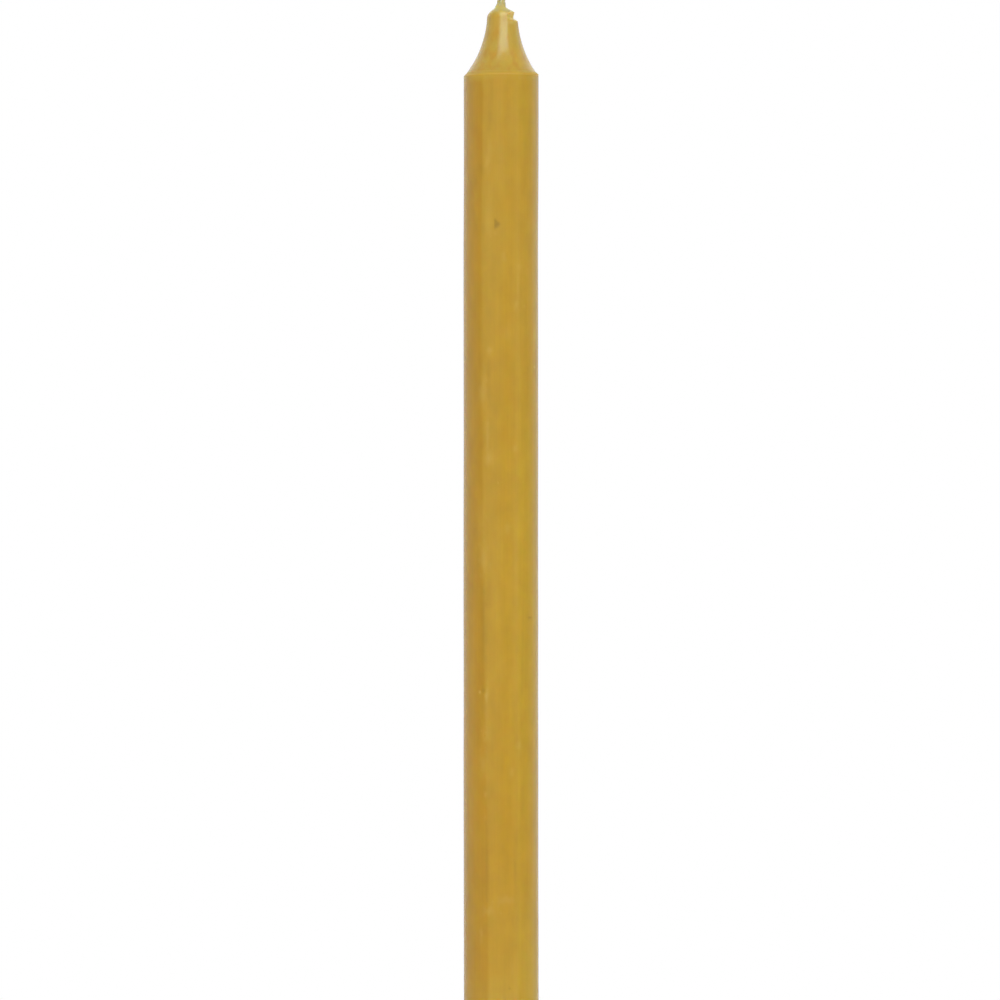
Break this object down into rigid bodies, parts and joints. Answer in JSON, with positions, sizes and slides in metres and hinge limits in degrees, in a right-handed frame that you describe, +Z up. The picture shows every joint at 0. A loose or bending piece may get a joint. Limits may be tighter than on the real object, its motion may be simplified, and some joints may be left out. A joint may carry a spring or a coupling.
{
  "type": "taper candle",
  "caption": "Straight honey-yellow wax candle for a round holder socket, with a sharp shoulder, a hollow milled neck, a small chipped nib and a plaited wick.",
  "frame": {"origin": "centre of the cut base, on the surface that the candle stands on", "axes": "+Z up along the candle's axis towards the wick, +X to the right of the pictured side, -Y towards the viewer of that side"},
  "size_m": [0.022, 0.022, 0.31],
  "materials": {
    "wax": "satin",
    "wick": "matte"
  },
  "bodies": {
    "root": {"wax_body": "wax", "wick": "wick"}
  },
  "joints": []
}
